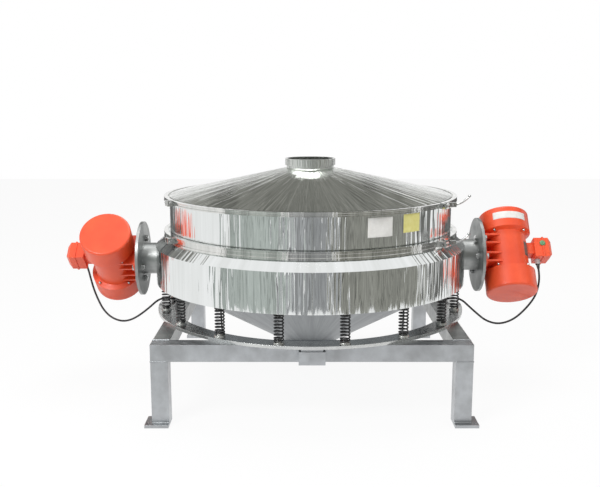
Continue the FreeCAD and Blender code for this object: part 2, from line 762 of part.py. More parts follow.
def make_motor(name, side, tilt, height):
    place = motor_place(side, tilt, height)
    gland, relief, lead_start = gland_parts()
    inner_bearing = annulus(bearing_radius, shaft_radius + running_clearance, body_half_length - bearing_width, body_half_length)
    parts = {
        "motor_housing": [motor_housing()],
        "motor_end_caps": both_ends(end_cap()),
        "motor_stator": [annulus(body_bore, rotor_radius + stator_gap, -stator_half_length, stator_half_length)],
        "motor_bearings": both_ends(inner_bearing),
        "motor_shaft": [rotor_shaft()],
        "eccentric_weights": eccentric_weights(),
        "terminal_box": [terminal_box()],
        "cable_gland": [gland, relief],
        "motor_bolts": motor_bolts(),
    }
    for part, solids in parts.items():
        save(name + "_" + part, *[placed(solid, place) for solid in solids])
    save(name + "_motor_arm", motor_arm(side, tilt, height))
    return place.multVec(lead_start), place.Rotation.multVec(-Z_AXIS)


# ---- motor leads ----
def on_circle(radius, angle, z):
    """Point at a radius and an angle from +X, on the right-hand side of the sieve."""
    return Vector(radius * math.cos(math.radians(angle)), radius * math.sin(math.radians(angle)), z)


def lead_route(start, heading, loop, drop_angle, side):
    """Points of a lead: loop, over the ring, along its inner margin, down to the coil."""
    lying = ring_top + lead_radius + lead_lift
    humped = lying + lead_hump
    margin = (ring_inner_radius + spring_circle - seat_radius) / 2 + 0.5
    down = ring_inner_radius - 4.5 * lead_radius
    coil_top = 2 * coil_layers * lead_radius + coil_clearance
    points = [Vector(*p) for p in loop]
    points += [Vector(ring_outer_radius + 14, 1, humped - 6), Vector(ring_outer_radius - 20, 5, humped + 6),
               Vector(ring_outer_radius - 52, 17, humped - 4)]
    for angle in (4.6, 10.5, 18.0, drop_angle - 14.5):
        points.append(on_circle(margin, angle, lying))
    points += [on_circle(margin, drop_angle - 8.5, lying), on_circle(margin - 2, drop_angle - 4.5, humped + 3),
               on_circle(down + 10, drop_angle - 1.6, humped + 4), on_circle(down - 3, drop_angle, ring_top - 12)]
    drop = frame_top - 42 - coil_top
    for share, sway in ((1.0, 0.0), (0.72, 2.0), (0.46, -1.0), (0.22, 0.0), (0.0, 0.0)):
        points.append(on_circle(down + sway, drop_angle, coil_top + drop * share))
    return [start, start + heading * lead_exit_run] + [Vector(side * p.x, p.y, p.z) for p in points]


def lead_path(points):
    """Straight runs joined by tangent arcs as large as the runs allow; also returns the radii."""
    edges = []
    radii = []
    here = points[0]
    for before, corner, after in zip(points, points[1:], points[2:]):
        back = before - corner
        ahead = after - corner
        cut = lead_turn_share * min(back.Length, ahead.Length)
        turn = math.pi - back.getAngle(ahead)
        radius = cut / math.tan(turn / 2)
        back.normalize()
        ahead.normalize()
        inward = (back + ahead).normalize()
        middle = corner + inward * (math.hypot(radius, cut) - radius)
        begin, end = corner + back * cut, corner + ahead * cut
        edges.append(Part.LineSegment(here, begin).toShape())
        edges.append(Part.Arc(begin, middle, end).toShape())
        radii.append(radius)
        here = end
    edges.append(Part.LineSegment(here, points[-1]).toShape())
    return Part.Wire(edges), radii


def make_lead(name, side, exit_place, loop, drop_angle):
    start, heading = exit_place
    points = lead_route(start, heading, loop, drop_angle, side)
    path, radii = lead_path(points)
    section = Part.Wire(Part.Circle(points[0], heading, lead_radius).toShape())
    tube = path.makePipeShell([section], True, False)
    save(name + "_lead", tube)
    foot = points[-1]
    outward = Vector(foot.x, foot.y, 0).normalize()
    centre = foot - outward * coil_radius
    reach = coil_columns * lead_radius
    high = 2 * coil_layers * lead_radius + coil_clearance
    coil = annulus(coil_radius + reach, coil_radius - reach, 0, high)
    save(name + "_lead_coil", coil.translated(Vector(centre.x, centre.y, 0)))
    turns = coil_columns * coil_layers
    length = path.Length + 2 * math.pi * coil_radius * turns
    expected = math.pi * lead_radius ** 2 * path.Length
    print(name, "lead: length %.0f, volume ratio %.4f" % (length, tube.Volume / expected),
          "smallest radius %.1f" % min(radii), [round(r) for r in radii])


def make_motors():
    left_exit = make_motor("left", -1, left_motor_tilt, shell_bottom + left_arm_rise)
    right_exit = make_motor("right", 1, right_motor_tilt, shell_bottom + right_arm_rise)
    make_lead("left", -1, left_exit, left_lead_loop, left_drop_angle)
    make_lead("right", 1, right_exit, right_lead_loop, right_drop_angle)


os.makedirs("parts", exist_ok=True)
make_frame()
make_ring()
make_springs()
make_lower_shell()
make_discharge()
make_screen()
make_deck()
make_lid()
make_bands()
make_motors()
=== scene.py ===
"""Vibrating sieve: looks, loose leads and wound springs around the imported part. Metres, row frame."""
import json
import math

import bpy
import bmesh
from mathutils import Matrix, Vector, noise


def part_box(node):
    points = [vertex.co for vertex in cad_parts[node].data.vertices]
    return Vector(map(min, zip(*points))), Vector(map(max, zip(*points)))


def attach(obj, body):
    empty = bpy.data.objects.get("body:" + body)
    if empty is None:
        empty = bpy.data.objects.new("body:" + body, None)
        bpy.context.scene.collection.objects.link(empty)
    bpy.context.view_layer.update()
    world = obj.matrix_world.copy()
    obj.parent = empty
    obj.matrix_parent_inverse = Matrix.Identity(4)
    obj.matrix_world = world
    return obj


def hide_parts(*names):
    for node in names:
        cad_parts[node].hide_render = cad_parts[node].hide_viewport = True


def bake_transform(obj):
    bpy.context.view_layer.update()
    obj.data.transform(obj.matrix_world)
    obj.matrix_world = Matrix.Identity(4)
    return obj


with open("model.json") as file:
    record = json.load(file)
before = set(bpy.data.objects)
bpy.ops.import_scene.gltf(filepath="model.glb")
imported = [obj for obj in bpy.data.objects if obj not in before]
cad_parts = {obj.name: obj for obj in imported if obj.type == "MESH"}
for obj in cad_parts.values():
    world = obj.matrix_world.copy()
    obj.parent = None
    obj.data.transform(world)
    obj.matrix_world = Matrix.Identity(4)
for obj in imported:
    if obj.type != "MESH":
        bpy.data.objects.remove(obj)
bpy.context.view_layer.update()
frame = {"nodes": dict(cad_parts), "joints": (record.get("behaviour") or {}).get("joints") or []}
nodes = frame["nodes"]
UP = Vector((0, 0, 1))

# ---- camera ----
camera_place = (-0.044, -3.4843, 1.2094)
camera_pitch = 79.91
camera_lens = 48.67
camera_sensor = 36.0
camera = bpy.data.objects.new("camera", bpy.data.cameras.new("camera"))
bpy.context.scene.collection.objects.link(camera)
camera.location = camera_place
camera.rotation_euler = (math.radians(camera_pitch), 0, 0)
camera.data.sensor_width = camera_sensor
camera.data.lens = camera_lens
bpy.context.scene.camera = camera

# ---- sizes that the looks share with the solids ----
deck_radius = 0.6
arm_reach = 0.735
arm_radius = 0.0675
foot_plate_thickness = 0.012
ring_outer_radius, ring_inner_radius = 0.660, 0.590
ring_top = 0.327
spring_seat_radius = 0.0215

motor_body_radius = 0.086
motor_cap_radius = 0.1075
motor_half_length = 0.1
terminal_box_side = 0.039

lead_diameter = 0.0086
# each lead's free loop, from its gland to the edge of the base ring
left_lead_loop = [
    (-0.99, 0.0481, 0.4769), (-0.99, 0.0707, 0.4543), (-0.986, 0.082, 0.418), (-0.975, 0.084, 0.368),
    (-0.956, 0.08, 0.318), (-0.932, 0.07, 0.274), (-0.894, 0.055, 0.241), (-0.843, 0.036, 0.228),
    (-0.794, 0.018, 0.241), (-0.748, 0.006, 0.271), (-0.703, 0, 0.308)]
right_lead_loop = [
    (0.99, -0.04, 0.486), (0.99, -0.0588, 0.4601), (0.987, -0.067, 0.424), (0.978, -0.066, 0.379),
    (0.962, -0.062, 0.346), (0.936, -0.054, 0.307), (0.901, -0.045, 0.268), (0.862, -0.034, 0.243),
    (0.82, -0.024, 0.234), (0.775, -0.014, 0.247), (0.742, -0.006, 0.273), (0.699, 0, 0.311)]
left_drop_angle, right_drop_angle = 41.0, 36.5
lead_lift = 0.0004
lead_hump = 0.009
lead_drop_levels = [(0.0, 0.273), (0.002, 0.2014), (-0.001, 0.135)]
coil_points_per_turn = 18
coil_first_step = 0.7
coil_outer, coil_inner = 0.0523, 0.0437
coil_upper, coil_lower = 0.0131, 0.0044
# angle wound so far in degrees, radius, height: two turns in the upper layer, then two in the lower
coil_stations = [(0, coil_outer, coil_upper), (290, coil_outer, coil_upper), (340, coil_inner, coil_upper),
                 (650, coil_inner, coil_upper), (700, coil_inner, coil_lower), (950, coil_inner, coil_lower),
                 (1000, coil_outer, coil_lower), (1300, coil_outer, coil_lower)]
# the swing into the coil: how far it lags behind the first turn, and its height
coil_swing = [(0.009, 0.088), (0.0135, 0.050), (0.006, 0.0235)]

# blank tags on the upper shell: bearings in degrees and heights, white then yellow
tag_angles = [(-70.2, -60.2), (-55.2, -47.0)]
tag_heights = [(0.710, 0.783), (0.717, 0.787)]

spring_count = 16
spring_circle = 0.625
spring_wire = 0.006
spring_mean_radius = 0.017
spring_turns = 9.0
spring_closed_turns = 0.9
spring_steps_per_turn = 20
spring_wire_sides = 8

cap_screw_radius = 0.0055
cap_screw_circle = 0.098
cap_screw_height = 0.012
cap_screw_angles = (-130, -50, 50, 130)
plug_radius, plug_height = 0.0125, 0.006
plug_place = (0.148, -terminal_box_side, 0.036)
patch_clearance = 0.0002

# the black strain relief takes the lower part of a cable gland
relief_share = 0.52
relief_black = (0.014, 0.014, 0.015)

bead_sides = 8
bead_ripple = 0.22
bead_ripple_rate = 420


# ---- small helpers ----
def link(name, data):
    """A new object in the scene."""
    made = bpy.data.objects.new(name, data)
    bpy.context.scene.collection.objects.link(made)
    return made


def mesh_object(name, vertices, faces, material=None, smooth=True):
    mesh = bpy.data.meshes.new(name)
    mesh.from_pydata([tuple(v) for v in vertices], [], faces)
    mesh.update()
    for polygon in mesh.polygons:
        polygon.use_smooth = smooth
    if material:
        mesh.materials.append(material)
    return link(name, mesh)


def tube(path, radius, sides):
    """Vertices and faces of a round closed tube, with a steady frame along its path."""
    vertices, faces = [], []
    last = len(path) - 1
    heading = (path[1] - path[0]).normalized()
    across = heading.orthogonal().normalized()
    for index, point in enumerate(path):
        ahead = (path[min(index + 1, last)] - path[max(index - 1, 0)]).normalized()
        across = (across - ahead * across.dot(ahead)).normalized()
        other = ahead.cross(across)
        for side in range(sides):
            turn = 2 * math.pi * side / sides
            vertices.append(point + (across * math.cos(turn) + other * math.sin(turn)) * radius)
    for index in range(last):
        for side in range(sides):
            a, b = index * sides + side, index * sides + (side + 1) % sides
            faces.append((a, b, b + sides, a + sides))
    faces.append(tuple(range(sides))[::-1])
    faces.append(tuple(range(last * sides, last * sides + sides)))
    return vertices, faces


def joined(parts):
    """Several lists of vertices and faces as one."""
    vertices, faces = [], []
    for more_vertices, more_faces in parts:
        start = len(vertices)
        vertices += more_vertices
        faces += [tuple(i + start for i in face) for face in more_faces]
    return vertices, faces


def between(stations, here):
    """Values of a list of (place, value, value...) at a place, straight between its entries."""
    for a, b in zip(stations, stations[1:]):
        if here <= b[0]:
            share = (here - a[0]) / (b[0] - a[0])
            return [x + (y - x) * share for x, y in zip(a[1:], b[1:])]
    return list(stations[-1][1:])


# ---- materials ----
def shader(name, colour, metallic=0.0, roughness=0.4, **sockets):
    """A Principled material with its plain values; the tree and the shader come with it."""
    material = bpy.data.materials.new(name)
    material.use_nodes = True
    bsdf = material.node_tree.nodes["Principled BSDF"]
    bsdf.inputs["Base Color"].default_value = (*colour, 1)
    bsdf.inputs["Metallic"].default_value = metallic
    bsdf.inputs["Roughness"].default_value = roughness
    for socket, value in sockets.items():
        bsdf.inputs[socket.replace("_", " ")].default_value = value
    return material, material.node_tree, bsdf


def node(tree, kind, **settings):
    """A shader node with its inputs and settings."""
    made = tree.nodes.new("ShaderNode" + kind)
    for key, value in settings.items():
        if key in made.inputs:
            made.inputs[key].default_value = value
        else:
            setattr(made, key, value)
    return made


def place(tree):
    """Object coordinates, which are the row frame's on every solid."""
    return node(tree, "TexCoord").outputs["Object"]


def turned_place(tree, around, along):
    """Coordinates that follow a round body: its azimuth, and its distance from the axis plus its height."""
    here = place(tree)
    split = node(tree, "SeparateXYZ")
    azimuth = node(tree, "Math", operation="ARCTAN2")
    out = node(tree, "VectorMath", operation="LENGTH")
    flat = node(tree, "VectorMath", operation="MULTIPLY")
    flat.inputs[1].default_value = (1, 1, 0)
    rise = node(tree, "Math", operation="ADD")
    stretch = node(tree, "Math", operation="MULTIPLY")
    stretch.inputs[1].default_value = along
    spin = node(tree, "Math", operation="MULTIPLY")
    spin.inputs[1].default_value = around
    join = node(tree, "CombineXYZ")
    make = tree.links.new
    make(here, split.inputs[0])
    make(here, flat.inputs[0])
    make(flat.outputs[0], out.inputs[0])
    make(split.outputs["Y"], azimuth.inputs[0])
    make(split.outputs["X"], azimuth.inputs[1])
    make(azimuth.outputs[0], spin.inputs[0])
    make(out.outputs["Value"], rise.inputs[0])
    make(split.outputs["Z"], rise.inputs[1])
    make(rise.outputs[0], stretch.inputs[0])
    make(spin.outputs[0], join.inputs["X"])
    make(stretch.outputs[0], join.inputs["Y"])
    return join.outputs[0]


def mottled(tree, vector, scale, low=0.0, high=1.0, detail=3.0, roughness=0.55):
    """Noise mapped to a range of values."""
    grain = node(tree, "TexNoise", Scale=scale, Detail=detail, Roughness=roughness)
    tree.links.new(vector, grain.inputs["Vector"])
    spread = node(tree, "MapRange")
    spread.inputs["From Min"].default_value = 0.3
    spread.inputs["From Max"].default_value = 0.7
    spread.inputs["To Min"].default_value = low
    spread.inputs["To Max"].default_value = high
    tree.links.new(grain.outputs["Fac"], spread.inputs["Value"])
    return spread.outputs["Result"]


def mixed(tree, factor, first, second):
    """The colour between two colours."""
    blend = node(tree, "Mix", data_type="RGBA")
    for socket in blend.inputs:
        if socket.type == "RGBA":
            socket.default_value = (*(first if socket.name == "A" else second), 1)
    tree.links.new(factor, blend.inputs[0])
    return next(s for s in blend.outputs if s.type == "RGBA")


def tinted(tree, bsdf, factor, first, second):
    """Colours the shader between two colours."""
    tree.links.new(mixed(tree, factor, first, second), bsdf.inputs["Base Color"])


def bumped(tree, bsdf, height, distance, strength=1.0, edge=0.0):
    """Bends the shader's normal by a height, over edges rounded by a small radius."""
    bump = node(tree, "Bump", Distance=distance, Strength=strength)
    tree.links.new(height, bump.inputs["Height"])
    if edge:
        rounding = node(tree, "Bevel", samples=4, Radius=edge)
        tree.links.new(rounding.outputs[0], bump.inputs["Normal"])
    tree.links.new(bump.outputs[0], bsdf.inputs["Normal"])


def polished_steel(name, low, high, rough_low, rough_high, wave):
    """Mirror-polished plate with upright hairlines, faint waves from rolling, and faint upright bands of
    painted reflection in its colour.
    """
    material, tree, bsdf = shader(name, high, metallic=1.0)
    painted_reflection_and_wave_bands = turned_place(tree, around=15.0, along=1.3)
    hairlines = turned_place(tree, around=240.0, along=2.0)
    # colour between low and high along upright bands: painted reflection streaks
    tinted(tree, bsdf, mottled(tree, painted_reflection_and_wave_bands, 1.0, detail=4.0), low, high)
    tree.links.new(mottled(tree, hairlines, 1.0, rough_low, rough_high), bsdf.inputs["Roughness"])
    bumped(tree, bsdf, mottled(tree, painted_reflection_and_wave_bands, 1.6, detail=2.0), wave)
    return material


def worked_steel(name, low, high, rough_low, rough_high, grain=60.0, wave=0.0001):
    """Satin plate and tube with mill grain, light scratches and duller spots."""
    material, tree, bsdf = shader(name, high, metallic=1.0)
    here = place(tree)
    dull = mottled(tree, here, grain, rough_low, rough_high, detail=6.0, roughness=0.7)
    tinted(tree, bsdf, mottled(tree, here, 14.0, detail=6.0), low, high)
    tree.links.new(dull, bsdf.inputs["Roughness"])
    bumped(tree, bsdf, mottled(tree, here, grain * 3, detail=4.0), wave, strength=0.4, edge=0.0018)
    return material


def gloss_paint(name, low, high, roughness=0.42, coat=0.22):
    """Sprayed enamel with a fine orange-peel skin."""
    material, tree, bsdf = shader(name, high, roughness=roughness, Coat_Weight=coat, Coat_Roughness=0.12)
    here = place(tree)
    tinted(tree, bsdf, mottled(tree, here, 9.0, detail=4.0), low, high)
    bumped(tree, bsdf, mottled(tree, here, 260.0, detail=2.0), 0.0003, strength=0.5, edge=0.002)
    return material


def plain_skin(name, low, high, roughness, grain, wave):
    """Moulded rubber or plastic with a fine grain."""
    material, tree, bsdf = shader(name, high, roughness=roughness)
    here = place(tree)
    tinted(tree, bsdf, mottled(tree, here, grain * 0.2), low, high)
    bumped(tree, bsdf, mottled(tree, here, grain), wave, strength=0.6)
    return material


def gland_finish(name, node_name, upper):
    """A cable gland's own finish, and black rubber on the strain relief below it."""
    low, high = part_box(node_name)
    material, tree, bsdf = shader(name, upper, roughness=0.36)
    split = node(tree, "SeparateXYZ")
    below = node(tree, "Math", operation="LESS_THAN")
    below.inputs[1].default_value = low.z + (high.z - low.z) * relief_share
    tree.links.new(place(tree), split.inputs[0])
    tree.links.new(split.outputs["Z"], below.inputs[0])
    tinted(tree, bsdf, below.outputs[0], upper, relief_black)
    bumped(tree, bsdf, mottled(tree, place(tree), 300.0), 0.0001, strength=0.5, edge=0.001)
    return material


mirror = polished_steel("mirror_steel", (0.72, 0.74, 0.73), (0.84, 0.86, 0.86), 0.03, 0.08, 0.0020)
mirror_lid = polished_steel("mirror_lid_steel", (0.62, 0.64, 0.61), (0.74, 0.76, 0.73), 0.05, 0.10, 0.0016)
band_steel = polished_steel("band_steel", (0.58, 0.59, 0.57), (0.80, 0.80, 0.78), 0.06, 0.14, 0.0006)
# a much darker copy of the mirror steel: painted shade on the cone and spout under the shell
shaded_cone_steel = polished_steel("shaded_cone_steel", (0.16, 0.17, 0.18), (0.26, 0.28, 0.29), 0.30, 0.45, 0.0006)
stand_steel = worked_steel("stand_steel", (0.36, 0.37, 0.38), (0.52, 0.54, 0.56), 0.28, 0.42)
# a darker copy of the stand steel for the left and right beams: painted shade on their side faces
shaded_side_steel = worked_steel("shaded_side_beam_steel", (0.22, 0.23, 0.23), (0.40, 0.41, 0.40), 0.30, 0.46)
ring_steel = worked_steel("ring_steel", (0.56, 0.57, 0.57), (0.72, 0.73, 0.72), 0.22, 0.34)
seat_steel = worked_steel("seat_steel", (0.60, 0.60, 0.58), (0.80, 0.80, 0.78), 0.22, 0.34)
zinc = worked_steel("galvanised_plate", (0.24, 0.25, 0.25), (0.42, 0.43, 0.42), 0.34, 0.52, 30.0)
bright_steel = worked_steel("bright_steel", (0.40, 0.41, 0.41), (0.62, 0.62, 0.61), 0.14, 0.28, 90.0)
dark_steel = worked_steel("dark_steel", (0.10, 0.10, 0.11), (0.20, 0.20, 0.21), 0.34, 0.5)
woven = worked_steel("woven_steel", (0.45, 0.45, 0.44), (0.70, 0.70, 0.68), 0.3, 0.5, 900.0, 0.0008)
red_paint = gloss_paint("orange_red_enamel", (0.74, 0.062, 0.014), (0.86, 0.095, 0.024))
black_paint = gloss_paint("black_enamel", (0.008, 0.008, 0.009), (0.018, 0.018, 0.02), 0.34, 0.4)
lead_skin = plain_skin("lead_skin", (0.012, 0.012, 0.013), (0.022, 0.022, 0.024), 0.46, 600.0, 0.0001)
rubber = plain_skin("pale_rubber", (0.52, 0.53, 0.52), (0.64, 0.65, 0.64), 0.55, 300.0, 0.0002)
copper = worked_steel("winding", (0.5, 0.22, 0.1), (0.62, 0.3, 0.16), 0.35, 0.5)

left_gland = gland_finish("left_gland_finish", "left_cable_gland", (0.70, 0.055, 0.014))
right_gland = gland_finish("right_gland_finish", "right_cable_gland", (0.42, 0.43, 0.43))
label_paper = plain_skin("label_paper", (0.70, 0.69, 0.66), (0.80, 0.79, 0.76), 0.5, 200.0, 0.00005)
yellow_paper = plain_skin("yellow_paper", (0.72, 0.66, 0.20), (0.80, 0.75, 0.30), 0.5, 200.0, 0.00005)
plate_grey = plain_skin("plate_grey", (0.09, 0.10, 0.09), (0.13, 0.14, 0.13), 0.35, 200.0, 0.00005)
plug_green = plain_skin("plug_green", (0.10, 0.26, 0.12), (0.14, 0.32, 0.16), 0.45, 300.0, 0.00005)

dressing = {
    left_gland: ["left_cable_gland"],
    right_gland: ["right_cable_gland"],
    mirror: ["lower_shell", "upper_shell"],
    mirror_lid: ["lid", "inlet_collar"],
    band_steel: ["screen_band_front", "screen_band_rear", "lid_band_front", "lid_band_rear"],
    shaded_cone_steel: ["discharge_cone", "outlet_spout"],
    stand_steel: ["front_beam", "rear_beam", "front_left_leg", "front_right_leg", "rear_left_leg",
                  "rear_right_leg", "foot_plates", "ring_brackets"],
    shaded_side_steel: ["left_beam", "right_beam"],
    ring_steel: ["base_ring"],
    seat_steel: ["lower_spring_seats", "upper_spring_seats"],
    zinc: ["left_motor_arm", "right_motor_arm"],
    bright_steel: ["screen_band_side_bolt", "screen_swing_bolt", "screen_clamp_lever",
                   "clamp_pivot_pins", "lid_band_side_bolt", "lid_swing_bolt", "lid_clamp_lever",
                   "left_motor_bolts", "right_motor_bolts", "screen_frame",
                   "left_motor_bearings", "right_motor_bearings", "left_motor_shaft",
                   "right_motor_shaft"],
    dark_steel: ["left_eccentric_weights", "right_eccentric_weights"],
    woven: ["screen_mesh"],
    red_paint: ["left_motor_housing", "right_motor_housing", "left_motor_end_caps",
                "right_motor_end_caps", "left_terminal_box", "right_terminal_box"],
    black_paint: ["coil_springs"],
    rubber: ["lower_gasket", "upper_gasket", "lid_gasket"],
    copper: ["left_motor_stator", "right_motor_stator"],
    lead_skin: ["left_lead", "right_lead", "left_lead_coil", "right_lead_coil"],
}
for material, names in dressing.items():
    for name in names:
        nodes[name].data.materials.clear()
        nodes[name].data.materials.append(material)


# ---- motor leads ----
def route_curve(name, points):
    """A smooth curve that starts and ends on its control points."""
    curve = bpy.data.curves.new(name, "CURVE")
    curve.dimensions = "3D"
    spline = curve.splines.new("NURBS")
    spline.points.add(len(points) - 1)
    for target, point in zip(spline.points, points):
        target.co = (*point, 1.0)
    spline.order_u = 3
    spline.use_endpoint_u = True
    spline.resolution_u = 6
    return link(name, curve)


def on_circle(radius, angle, z):
    """A place at a radius and an angle from +X."""
    return radius * math.cos(math.radians(angle)), radius * math.sin(math.radians(angle)), z


def lead_route(loop, drop_angle, side):
    """The free loop, then over the ring's edge, along its inner margin and down inside it."""
    lying = ring_top + lead_diameter / 2 + lead_lift
    humped = lying + lead_hump
    margin = (ring_inner_radius + spring_circle - spring_seat_radius) / 2 + 0.0005
    down = ring_inner_radius - 2.25 * lead_diameter
    points = [(ring_outer_radius + 0.014, 0.001, humped - 0.006),
              (ring_outer_radius - 0.020, 0.005, humped + 0.006),
              (ring_outer_radius - 0.052, 0.017, humped - 0.004)]
    for angle in (4.6, 10.5, 18.0, drop_angle - 14.5, drop_angle - 8.5):
        points.append(on_circle(margin, angle, lying))
    points.append(on_circle(margin - 0.002, drop_angle - 4.5, humped + 0.003))
    points.append(on_circle(down + 0.010, drop_angle - 1.6, humped + 0.004))
    points.append(on_circle(down - 0.003, drop_angle, ring_top - 0.012))
    points += [on_circle(down + sway, drop_angle, level) for sway, level in lead_drop_levels]
    return loop + [(round(side * x, 4), round(y, 4), round(z, 4)) for x, y, z in points]


def wound_points(centre, first_angle, turning):
    """Control points of the coil's turns; a spline runs a little inside them."""
    step = 360 / coil_points_per_turn
    inside = 0.75 + 0.25 * math.cos(math.radians(step))
    points = []
    wound = step * coil_first_step
    while wound <= coil_stations[-1][0]:
        radius, height = between(coil_stations, wound)
        angle = first_angle + turning * math.radians(wound)
        outward = Vector((math.cos(angle), math.sin(angle), 0))
        points.append(centre + outward * radius / inside + UP * height)
        wound += step
    return points


def lead_points(route, coil_node, turning):
    """The route, a swing into the coil's direction, and the coil's turns."""
    low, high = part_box(coil_node)
    centre = Vector(((low.x + high.x) / 2, (low.y + high.y) / 2, 0))
    hang = Vector(route[-1])
    out = (Vector((hang.x, hang.y, 0)) - centre).normalized()
    along = UP.cross(out) * turning
    foot = centre + out * coil_outer
    points = [Vector(p) for p in route]
    for back, height in coil_swing:
        points.append(foot - along * back + UP * height)
    return points + wound_points(centre, math.atan2(out.y, out.x), turning)


def make_lead(name, route, turning):
    """A lead from its gland to its coil."""
    points = lead_points(route, name + "_coil", turning)
    line = route_curve(name + "_line", points)
    centreline = bpy.data.meshes.new_from_object(line)
    line.data.bevel_depth = lead_diameter / 2
    line.data.bevel_resolution = 4
    line.data.use_fill_caps = True
    skin = bpy.data.meshes.new_from_object(line)
    bpy.data.objects.remove(line)
    skin.materials.clear()
    skin.materials.append(lead_skin)
    for polygon in skin.polygons:
        polygon.use_smooth = True
    lead = link(name + "_cord", skin)
    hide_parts(name, name + "_coil")
    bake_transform(lead)


make_lead("left_lead", lead_route(left_lead_loop, left_drop_angle, -1), 1)
make_lead("right_lead", lead_route(right_lead_loop, right_drop_angle, 1), -1)


# ---- springs ----
def spring_path(low, high):
    """Centre line of a compression spring with closed ends."""
    bottom, top = low + spring_wire / 2, high - spring_wire / 2
    closed = spring_wire * spring_closed_turns
    stations = [(0, bottom), (spring_closed_turns, bottom + closed),
                (spring_turns - spring_closed_turns, top - closed), (spring_turns, top)]
    points = []
    steps = int(spring_turns * spring_steps_per_turn)
    for index in range(steps + 1):
        turn = spring_turns * index / steps
        angle = 2 * math.pi * turn
        across, aside = math.cos(angle) * spring_mean_radius, math.sin(angle) * spring_mean_radius
        points.append(Vector((across, aside, between(stations, turn)[0])))
    return points


def make_springs():
    """Round wire in place of the plain springs, each turned its own way."""
    low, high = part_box("coil_springs")
    one = tube(spring_path(low.z, high.z), spring_wire / 2, spring_wire_sides)
    parts = []
    for index in range(spring_count):
        angle = 2 * math.pi * (index + 0.5) / spring_count
        shift = Vector((math.cos(angle), math.sin(angle), 0)) * spring_circle
        turn = Matrix.Translation(shift) @ Matrix.Rotation(angle * 3, 4, "Z")
        parts.append(([turn @ v for v in one[0]], one[1]))
    springs = mesh_object("wound_springs", *joined(parts), black_paint)
    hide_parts("coil_springs")
    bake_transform(springs)


make_springs()


# ---- labels, plates and cap screws ----
def motor_frame(name):
    """Placement of a motor's own axes: Z along its shaft and X away from the sieve."""
    spin = next(j for j in frame["joints"] if j["name"] == name + "_rotor_spin")
    origin, axis = Vector(spin["pos_m"]), Vector(spin["axis"])
    outward = Vector((math.copysign(1, origin.x), 0, 0))
    turn = Matrix((outward, axis.cross(outward), axis)).transposed().to_4x4()
    return Matrix.Translation(origin) @ turn


def curved_patch(name, placement, radius, angles, heights, thick, material, body):
    """A thin plate or label that lies on a round wall, with a rounded rim."""
    columns, rows = 20, 6
    vertices, faces = [], []
    for lift in (patch_clearance, thick):
        inset = 0.0 if lift < thick else thick * 0.6
        for row in range(rows + 1):
            height = heights[0] + inset + (heights[1] - heights[0] - 2 * inset) * row / rows
            for column in range(columns + 1):
                edge = inset / radius
                angle = math.radians(angles[0]) + edge
                angle += (math.radians(angles[1] - angles[0]) - 2 * edge) * column / columns
                out = radius + lift
                vertices.append(placement @ Vector((math.cos(angle) * out, math.sin(angle) * out, height)))
    width = columns + 1
    top = width * (rows + 1)
    for row in range(rows):
        for column in range(columns):
            a = row * width + column
            faces.append((a + width, a + width + 1, a + 1, a))
            faces.append((a + top, a + top + 1, a + top + width + 1, a + top + width))
    rim = [row * width for row in range(rows)] + [rows * width + c for c in range(columns)]
    rim += [row * width + columns for row in range(rows, 0, -1)] + list(range(columns, 0, -1))
    for a, b in zip(rim, rim[1:] + rim[:1]):
        faces.append((a, a + top, b + top, b))
    patch = mesh_object(name, vertices, faces, material)
    tidy_normals(patch)
    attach(patch, body)


def tidy_normals(piece):
    """Turns every face outward."""
    work = bmesh.new()
    work.from_mesh(piece.data)
    bmesh.ops.recalc_face_normals(work, faces=work.faces)
    work.to_mesh(piece.data)
    work.free()


def domed_head(radius, height, sides=24):
    """Screw head with a rounded top, on the XY plane."""
    outline = [(radius, 0), (radius, height * 0.55), (radius * 0.86, height * 0.85), (radius * 0.5, height)]
    vertices, faces = [], []
    for out, level in outline:
        for side in range(sides):
            angle = 2 * math.pi * side / sides
            vertices.append(Vector((math.cos(angle) * out, math.sin(angle) * out, level)))
    for ring in range(len(outline) - 1):
        for side in range(sides):
            a, b = ring * sides + side, ring * sides + (side + 1) % sides
            faces.append((a, b, b + sides, a + sides))
    last = (len(outline) - 1) * sides
    faces.append(tuple(range(last, last + sides)))
    faces.append(tuple(range(sides))[::-1])
    return vertices, faces


def cap_screws(name):
    """The screws that hold a motor's two caps to its housing."""
    placement = motor_frame(name)
    heads = []
    for end in (-1, 1):
        for angle in cap_screw_angles:
            turn = math.radians(angle)
            foot = Vector((math.cos(turn), math.sin(turn), 0)) * cap_screw_circle
            foot.z = end * (motor_half_length - cap_screw_height)
            flip = Matrix.Rotation(math.pi if end > 0 else 0, 4, "X")
            vertices, faces = domed_head(cap_screw_radius, cap_screw_height)
            heads.append(([placement @ (Matrix.Translation(foot) @ flip @ v) for v in vertices], faces))
    screws = mesh_object(name + "_cap_screws", *joined(heads), bright_steel)
    tidy_normals(screws)
    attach(screws, "sieve")


for motor in ("left", "right"):
    cap_screws(motor)
right_motor = motor_frame("right")
curved_patch("right_cap_label", right_motor, motor_cap_radius, (-128, -48), (0.125, 0.158), 0.0006,
             label_paper, "sieve")
curved_patch("right_name_plate", right_motor, motor_body_radius, (-46, -16), (-0.03, 0.035), 0.001,
             plate_grey, "sieve")
plug_turn = right_motor @ Matrix.Translation(plug_place) @ Matrix.Rotation(math.pi / 2, 4, "X")
plug_mesh = domed_head(plug_radius, plug_height)
plug = mesh_object("right_box_plug", [plug_turn @ v for v in plug_mesh[0]], plug_mesh[1], plug_green)
tidy_normals(plug)
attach(plug, "sieve")
wall = Matrix.Identity(4)
curved_patch("white_tag", wall, deck_radius, tag_angles[0], tag_heights[0], 0.0004, label_paper, "sieve")
curved_patch("yellow_tag", wall, deck_radius, tag_angles[1], tag_heights[1], 0.0004, yellow_paper, "sieve")


